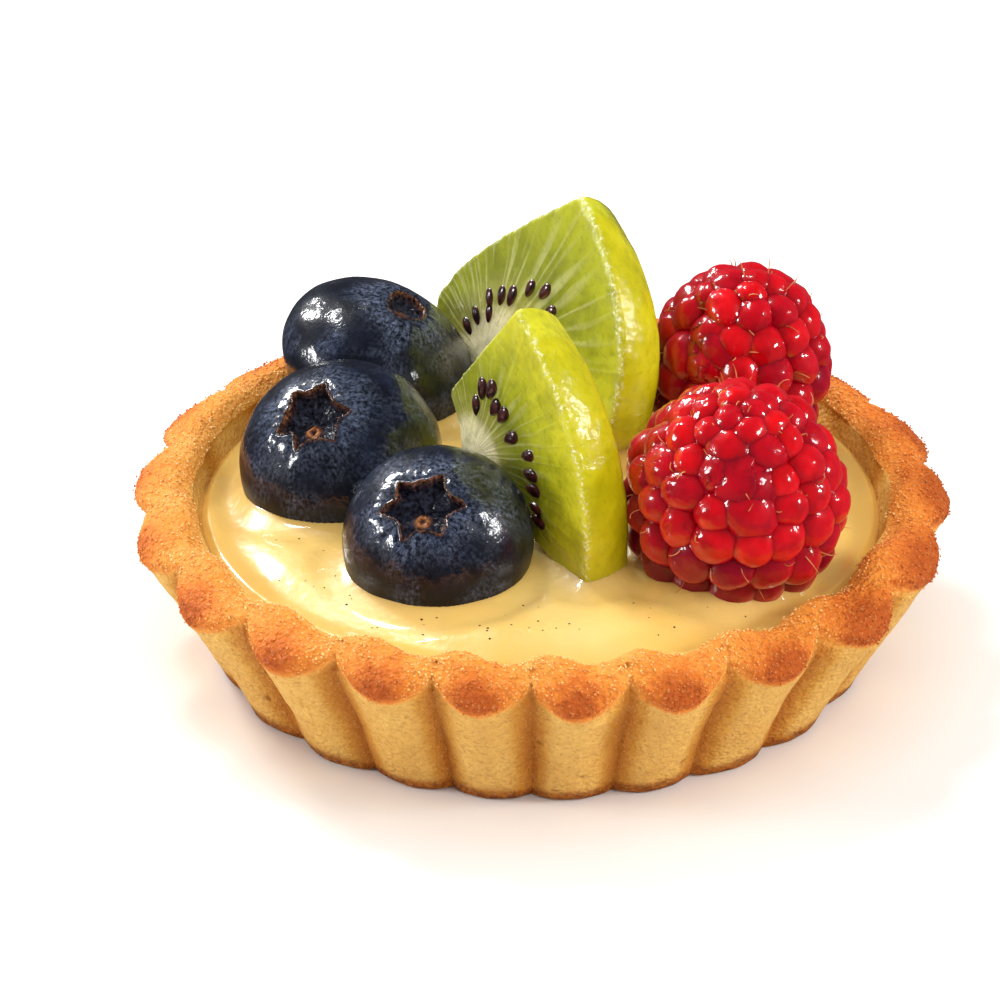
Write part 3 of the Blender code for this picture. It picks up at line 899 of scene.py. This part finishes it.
def kiwi_outline(radius, corners, count):
    """The slice's outline about its core as evenly spaced points, with how much each one tapers."""
    (start, start_radius), (end, end_radius) = corners[:2]
    t = np.linspace(0, 1, 60)
    ends = start_radius * (1 - t) + end_radius * t
    reach = ends + (radius - ends) * np.sin(np.pi * t) ** 0.6
    angles = np.radians(start + (end - start) * t)
    taper = t**3
    for angle, distance in corners[2:]:
        angles, reach = np.append(angles, math.radians(angle)), np.append(reach, distance)
        taper = np.append(taper, KIWI_CUT_TAPER)
    loop = np.stack([reach * np.cos(angles), reach * np.sin(angles), taper], axis=-1)
    loop = np.vstack([loop, loop[:1]])
    walked = np.append(0, np.cumsum(np.linalg.norm(np.diff(loop[:, :2], axis=0), axis=1)))
    spots = np.linspace(0, walked[-1], count, endpoint=False)
    even = np.stack([np.interp(spots, walked, loop[:, i]) for i in range(3)], axis=-1)
    for _ in range(5):
        even = (np.roll(even, 1, axis=0) + 2 * even + np.roll(even, -1, axis=0)) / 4
    return even


def make_kiwi(name, centre, radius, turn, lean, *corners, look):
    obj, across, along = sheet_grid(name + "_flesh", KIWI_COLUMNS, KIWI_ROWS)
    outline = kiwi_outline(radius, corners, KIWI_COLUMNS)
    column = np.round(across * KIWI_COLUMNS).astype(int) % KIWI_COLUMNS
    edge, taper = outline[column, :2], outline[column, 2]
    share = np.interp(along, KIWI_STOPS, (0, 0.96, 0.99, 1, 1, 0.99, 0.965, 0))
    depth = np.interp(along, KIWI_STOPS, (-1, -1, -0.98, -0.92, -0.09, -0.03, 0, 0)) * KIWI_THICKNESS
    back = np.clip(-depth / KIWI_THICKNESS, 0, 1)
    outward = edge / np.maximum(np.linalg.norm(edge, axis=1), 1e-6)[:, None]
    inset = KIWI_SKIN_TAPER * back**2 + KIWI_APEX_TAPER * taper * (0.35 * back + 0.65 * back**2)
    local = np.column_stack([(edge - outward * inset[:, None]) * share[:, None], depth])
    side = (along > KIWI_STOPS[1]) & (along < KIWI_STOPS[-2])
    bulge = 0.22 * np.sin(np.pi * back) * side
    local[:, :2] += outward * bulge[:, None]
    across_x, across_y, squeeze = PATTERNS[name]
    from_core = local[:, :2] - (across_x, across_y)
    slant = np.array([math.cos(PATTERN_SLANT), math.sin(PATTERN_SLANT)])
    drawn = from_core @ slant
    ring = np.linalg.norm(from_core - np.outer(drawn * (1 - squeeze), slant), axis=1)
    angle = np.arctan2(from_core[:, 1], from_core[:, 0])
    fruit = np.column_stack([np.cos(angle), np.sin(angle), ring * 0.012 + depth * 0.02])
    rays = lumps(fruit, 0.07) * ease(1.5, 4.0, ring)
    on_face = ease(KIWI_STOPS[-3], KIWI_STOPS[-2] + 0.02, along)
    seed_dip = np.exp(-(((ring - 0.45 * radius) / (0.12 * radius)) ** 2))
    points = local.copy()
    dips = 0.25 * seed_dip * (0.6 + 0.4 * rays)
    points[:, 2] += on_face * (0.07 * rays - dips + 0.06 * lumps(local, 1.3, 6.0))
    points[:, 2] += 0.10 * lumps(local, 5.0, 3.0) + on_face * 0.7 * np.exp(-((ring / 2.8) ** 2))
    rough = side * (0.12 * lumps(local, 3.0, 2.0) + 0.06 * lumps(local, 0.9, 7.0))
    ridge = np.exp(-(((along - KIWI_STOPS[-3]) / 0.022) ** 2))
    frayed = ridge * 0.07 * lumps(local, 0.5, 8.0)
    points += np.column_stack([outward, np.ones(len(points))]) * frayed[:, None]
    points[:, :2] += outward * rough[:, None]
    edge_angle = np.arctan2(local[:, 1], local[:, 0])
    cut_edge = ease(0.02, 0.2, taper) * (edge_angle > math.radians(60)) + (edge_angle < math.radians(-25))
    set_points(obj, carried(points, slice_matrix(centre, turn, lean)) * MM)
    set_place(obj, "fruit", fruit)
    set_mask(obj, "share", ring / radius)
    set_mask(obj, "ridge", ridge)
    set_mask(obj, "rind", (1 - ease(KIWI_STOPS[-3] - 0.02, KIWI_STOPS[-3] + 0.01, along))
             * ease(KIWI_STOPS[1], KIWI_STOPS[3], along) * (1 - np.clip(cut_edge, 0, 1) * 0.8))
    close_up(obj)
    finish_piece(obj, look, "kiwi", name)


def make_seeds(look):
    """Flat oval seeds, sunk by half into both cut faces of each slice and pointing at the core."""
    add = bpy.ops.mesh.primitive_uv_sphere_add
    pattern = new_piece("kiwi_seeds", add, segments=24, ring_count=14, radius=1)
    shape = points_of(pattern)
    shape[:, 1] *= 1 - 0.30 * shape[:, 0]
    set_points(pattern, shape)
    seed_rng = np.random.default_rng(4)
    placements = []
    for depth in (-SEED_SINK, SEED_SINK - KIWI_THICKNESS):
        for name, spots in SEEDS.items():
            centre, _, turn, lean = KIWIS[name][:4]
            across_x, across_y, _ = PATTERNS[name]
            for angle, distance in spots:
                a = math.radians(angle)
                spot = (across_x + distance * math.cos(a), across_y + distance * math.sin(a), depth)
                long_half = seed_rng.uniform(1.0, 1.25)
                local = (
                    Matrix.Translation(spot)
                    @ Matrix.Rotation(a + math.pi + seed_rng.uniform(-0.12, 0.12), 4, "Z")
                    @ Matrix.Diagonal((long_half, long_half * 0.52, 0.42, 1))
                )
                placements.append(np.array(slice_matrix(centre, turn, lean) @ local))
    return finish_piece(joined_copies("kiwi_seeds", pattern, placements), look, "kiwi")


# ---------------------------------------------------------------- raspberries

def drupelet_places(width, height, glazed, place_rng):
    """Rows of drupelets from the tip down: way out from the middle, place and half-width of each."""
    places = []
    polar, row = 2.0, 0
    while polar < 160:
        t = math.radians(polar)
        taper = 1 - TIP_TAPER * max(0.0, math.cos(t)) ** 1.5
        small = 0.72 + 0.30 * math.sin(min(t, math.pi / 2))
        size = DRUPELET_RADIUS * small
        inner_w, inner_h = (width - size) * taper, height - size
        girth = math.tau * inner_w * math.sin(t)
        count = max(1, round(girth / (DRUPELET_PITCH * small)))
        for k in range(count):
            a = math.tau * (k + 0.5 * (row % 2) + place_rng.uniform(-0.13, 0.13)) / count
            tt = t + place_rng.uniform(-0.04, 0.04)
            way = Vector((math.sin(tt) * math.cos(a), math.sin(tt) * math.sin(a), math.cos(tt)))
            stretch = HOLLOW_STRETCH if way.z < 0 else 1
            spot = Vector((way.x * inner_w, way.y * inner_w, way.z * inner_h * stretch))
            big = size * place_rng.uniform(0.92, 1.08)
            if way.angle(glazed) < GLAZED_REACH:
                big *= place_rng.uniform(1.08, 1.25)
                spot -= way * 0.15 * big
            places.append((way, spot, big))
        row += 1
        polar += math.degrees(DRUPELET_ROW * small / (0.5 * (inner_w + inner_h)))
    return places


def make_raspberry(name, centre, width, height, axis, glazed, look):
    place_rng = random.Random(name)
    to_tart = frame_to(centre, axis)
    glazed = to_tart.to_3x3().inverted() @ Vector(glazed).normalized()
    places = drupelet_places(width, height, glazed, place_rng)
    add = bpy.ops.mesh.primitive_uv_sphere_add
    pattern = new_piece(name + "_fruit", add, segments=26, ring_count=18, radius=1)
    placements = [
        np.array(Matrix.Translation(spot) @ way.to_track_quat("Z", "Y").to_matrix().to_4x4()
                 @ Matrix.Rotation(place_rng.uniform(0, math.pi), 4, "Z")
                 @ Matrix.Diagonal((big * place_rng.uniform(0.98, 1.16), big * place_rng.uniform(0.90, 1.02),
                                    big * place_rng.uniform(0.88, 1.0), 1)))
        for way, spot, big in places
    ]
    unit = points_of(pattern)
    obj = joined_copies(name + "_fruit", pattern, placements)
    # Each drupelet's darker tone: partly at random, more towards the bottom.
    dark_tone = [place_rng.uniform(0, 0.55) + 0.85 * min(max(0.35 - way.z, 0.0), 0.8) for way, _, _ in places]
    set_mask(obj, "dark_tone", np.repeat(dark_tone, len(unit)))
    # Darker towards each drupelet's base, where it meets its neighbours: painted shade in the seams.
    set_mask(obj, "seam", np.tile(1 - ease(0.35, 0.85, unit[:, 2]), len(places)))
    body = points_of(obj) / MM
    body *= (1 + 0.016 * lumps(body, 2.0, width) + 0.011 * lumps(body, 0.8, 3.0))[:, None]
    set_points(obj, carried(body, to_tart) * MM)
    # The core fills the seams between drupelets, and stands over them where the glaze pools
    core, ways, _, _ = rolled_ball(name + "_core", CORE_COLUMNS, CORE_ROWS, 1.0)
    spots = np.array([spot for _, spot, _ in places])
    sizes = np.array([big for _, _, big in places])
    towards = ways @ spots.T
    off = np.einsum("ij,ij->i", spots, spots)[None, :] - towards**2
    reach = towards + np.sqrt(np.maximum(sizes[None, :] ** 2 - off, 0.0))
    reach = np.where(off < sizes[None, :] ** 2, reach, 0.0)
    blurred = np.sort(reach, axis=1)[:, -3:].mean(axis=1)
    level = np.where(blurred > 5, blurred, reach.max(axis=1))
    film = np.exp(-((np.arccos(np.clip(ways @ np.array(glazed), -1, 1)) / 0.40) ** 2))
    film = np.clip(film * (1.0 + 0.3 * lumps(ways * 10, 3.0, 2.0)), 0, 1)
    depth = width * (0.90 + 0.02 * lumps(ways * 10, 4.0, 5.0))
    pooled = reach.max(axis=1) * 0.25 + width * 0.975 * 0.75
    body = ways * (np.minimum(level - 0.35, depth) * (1 - film) + pooled * film)[:, None]
    set_points(core, carried(body, to_tart) * MM)
    set_mask(core, "dark_tone", np.full(len(body), 0.5))
    # The core shows only in the seams, so it takes the painted seam shade too, except under the thick glaze.
    set_mask(core, "seam", 1 - np.clip(film * 1.5, 0, 1))
    close_up(core)
    only(obj)
    core.select_set(True)
    bpy.ops.object.join()
    finish_piece(obj, look, "raspberry", name)
    return places, to_tart


def make_hairs(grown, look):
    """Dried styles: thin bent hairs that stand in the seams between drupelets."""
    curve = bpy.data.curves.new("raspberry_hairs", "CURVE")
    curve.dimensions = "3D"
    curve.bevel_depth = HAIR_RADIUS * MM
    curve.bevel_resolution = 1
    curve.use_fill_caps = True
    hair_rng = random.Random(12)
    for places, to_tart in grown:
        for way, spot, size in places:
            if way.z < -0.5 or hair_rng.random() < 0.2:
                continue
            side = way.cross(Vector((hair_rng.uniform(-1, 1), hair_rng.uniform(-1, 1), 0.3))).normalized()
            root = spot + way * size * 0.45 + side * size * 0.80
            length = hair_rng.uniform(1.2, 2.6)
            stands = hair_rng.choice((0.25, 0.7, 0.95))
            bend = way.cross(side) * hair_rng.uniform(-0.8, 0.8) - side * hair_rng.uniform(0.0, 0.9)
            spline = curve.splines.new("POLY")
            spline.points.add(5)
            for k in range(6):
                t = k / 5
                p = root + way * length * stands * t + (side * (1 - stands) + bend * t) * length * t * 0.6
                p = p + way * 0.3 * math.sin(math.pi * t)
                spline.points[k].co = (*(to_tart @ p * MM), 1.0)
                spline.points[k].radius = 1.0 - 0.6 * t
    only(linked("raspberry_hairs", curve))
    bpy.ops.object.convert(target="MESH")
    return finish_piece(bpy.context.active_object, look, "raspberry")


# ---------------------------------------------------------------- the tart

def make_tart():
    crust = make_crust(crust_material())
    make_sugar(crust, sugar_material())
    berry_look, kiwi_look, raspberry_look = blueberry_material(), kiwi_material(), raspberry_material()
    fruit = [make_blueberry(name, *sizes, berry_look) for name, sizes in BLUEBERRIES.items()]
    for name, sizes in KIWIS.items():
        make_kiwi(name, *sizes, look=kiwi_look)
        fruit.append(bpy.data.objects[name + "_flesh"])
    make_seeds(seed_material())
    grown = []
    for name, sizes in RASPBERRIES.items():
        grown.append(make_raspberry(name, *sizes, raspberry_look))
        fruit.append(bpy.data.objects[name + "_fruit"])
    make_hairs(grown, hair_material())
    custard = make_custard(custard_material(), [tree_of(piece) for piece in fruit])
    make_specks(custard, speck_material())


# ---------------------------------------------------------------- floor, light and camera

def make_floor():
    floor = new_piece("floor", bpy.ops.mesh.primitive_plane_add, size=FLOOR_SIZE)
    made, tree = new_material("pale floor")
    tint = tree.ramp(tree.noise(tree.here(), 30.0), (0.3, (243, 242, 240)), (0.7, (247, 246, 244)))
    tree.dress(Base_Color=tint, Roughness=FLOOR_ROUGHNESS)
    floor.data.materials.append(made)
    floor.visible_glossy = False


def add_softbox(name, towards, distance, width, height, power, seen):
    """A lamp that way from the tart. One that isn't seen lights surfaces but leaves no highlight on them."""
    data = bpy.data.lights.new(name, "AREA")
    data.shape = "RECTANGLE"
    data.size, data.size_y = width, height
    data.energy = power
    obj = linked(name, data)
    way = Vector(towards).normalized()
    obj.location = CAMERA_AIM + way * distance
    obj.rotation_euler = way.to_track_quat("Z", "Y").to_euler()
    obj.visible_glossy = seen


def light_up():
    for lamp in LAMPS:
        add_softbox(*lamp)
    world = bpy.data.worlds.new("studio")
    bpy.context.scene.world = world
    world.use_nodes = True
    tree = Tree(world.node_tree)
    back = world.node_tree.nodes["Background"]
    rays = tree.add("LightPath").outputs
    ambient = tree.mix(rays["Is Glossy Ray"], DIFFUSE_SKY, GLOSSY_SKY)
    tree.feed(back.inputs["Color"], tree.mix(rays["Is Camera Ray"], ambient, BACKDROP))
    back.inputs["Strength"].default_value = 1.0
    bpy.context.scene.view_settings.view_transform = "Standard"


def add_camera():
    data = bpy.data.cameras.new("camera")
    data.sensor_width = SENSOR
    data.lens = SENSOR * CAMERA_DISTANCE / VIEW_WIDTH
    obj = linked("camera", data)
    back = Vector((0, -math.cos(CAMERA_ELEVATION), math.sin(CAMERA_ELEVATION)))
    obj.location = CAMERA_AIM + back * CAMERA_DISTANCE
    obj.rotation_euler = back.to_track_quat("Z", "Y").to_euler()
    bpy.context.scene.camera = obj


make_tart()
make_floor()
light_up()
add_camera()
